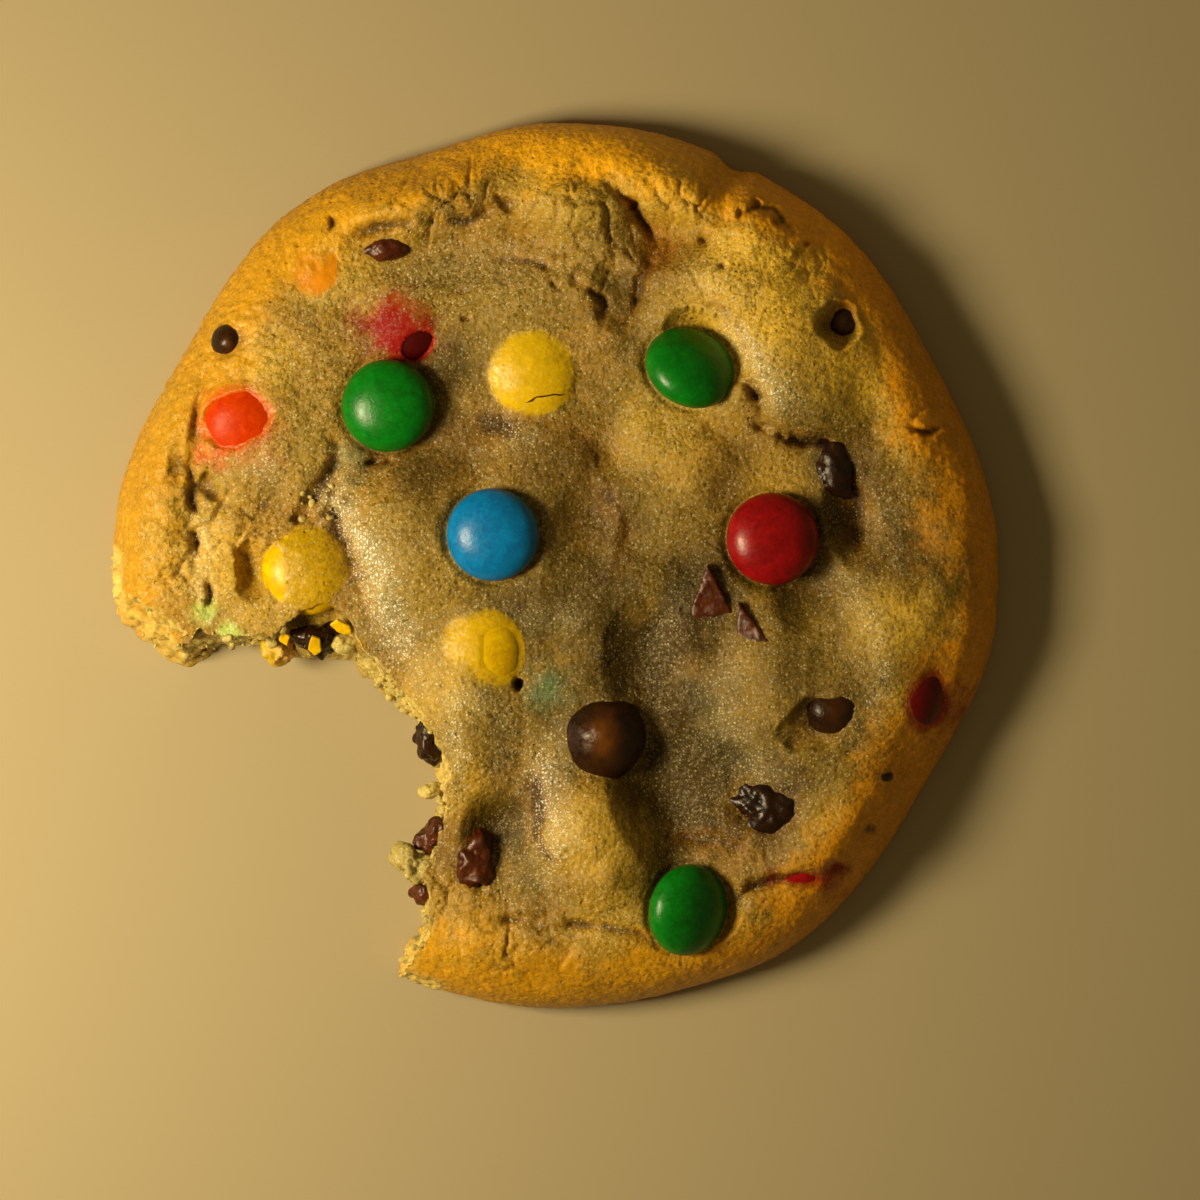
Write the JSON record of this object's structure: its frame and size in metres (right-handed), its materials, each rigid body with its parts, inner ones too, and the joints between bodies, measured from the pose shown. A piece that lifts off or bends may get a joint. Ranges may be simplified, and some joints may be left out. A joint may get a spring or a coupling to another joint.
{
  "type": "double chocolate candy cookie",
  "caption": "Round baked cookie with one bite out of its side, studded with sugar-shelled chocolate candies, chocolate chips and shards.",
  "frame": {"origin": "middle of the cookie's outline, on the surface that its flat baked base lies on", "axes": "+Z up out of the top crust; seen from above with +Y up, +X is to the right and the bite is at the lower left"},
  "size_m": [0.0896, 0.0896, 0.0135],
  "materials": {
    "dough": "baked golden crust, grainy, slightly greasy",
    "candy_green": "thin glossy sugar shell",
    "candy_blue": "thin glossy sugar shell, a little mottled",
    "candy_red": "thin glossy sugar shell",
    "candy_yellow": "thin glossy sugar shell under a film of dough",
    "candy_orange": "thin glossy sugar shell under a film of dough",
    "dark_chocolate": "melted and set chocolate, soft gloss",
    "milk_chocolate": "broken milk chocolate",
    "crumb": "open pale crumb"
  },
  "bodies": {
    "root": {"dough": "dough", "candy_green_left": "candy_green", "candy_green_top": "candy_green", "candy_green_bottom": "candy_green", "candy_blue": "candy_blue", "candy_red_right": "candy_red", "candy_red_top": "candy_red", "candy_red_rim_right": "candy_red", "candy_red_rim_bottom": "candy_red", "candy_yellow_top": "candy_yellow", "candy_yellow_lower": "candy_yellow", "candy_yellow_bitten": "candy_yellow", "candy_orange_left": "candy_orange", "candy_orange_rim": "candy_orange", "chip_centre": "dark_chocolate", "chip_right": "dark_chocolate", "chip_top_right": "dark_chocolate", "chip_left": "dark_chocolate", "chocolate_film_right": "dark_chocolate", "chocolate_film_bottom": "dark_chocolate", "chocolate_film_top": "milk_chocolate", "chocolate_fleck_right": "dark_chocolate", "chocolate_fold_bite": "milk_chocolate", "chocolate_bite_upper": "dark_chocolate", "chocolate_bite_middle": "milk_chocolate", "chocolate_bite_lower": "milk_chocolate", "chocolate_in_candy": "dark_chocolate", "crumb_yellow": "crumb", "shard_upper": "milk_chocolate", "shard_lower": "milk_chocolate", "shell_flake_1": "candy_yellow", "shell_flake_2": "candy_yellow", "shell_flake_3": "candy_yellow"}
  },
  "joints": []
}
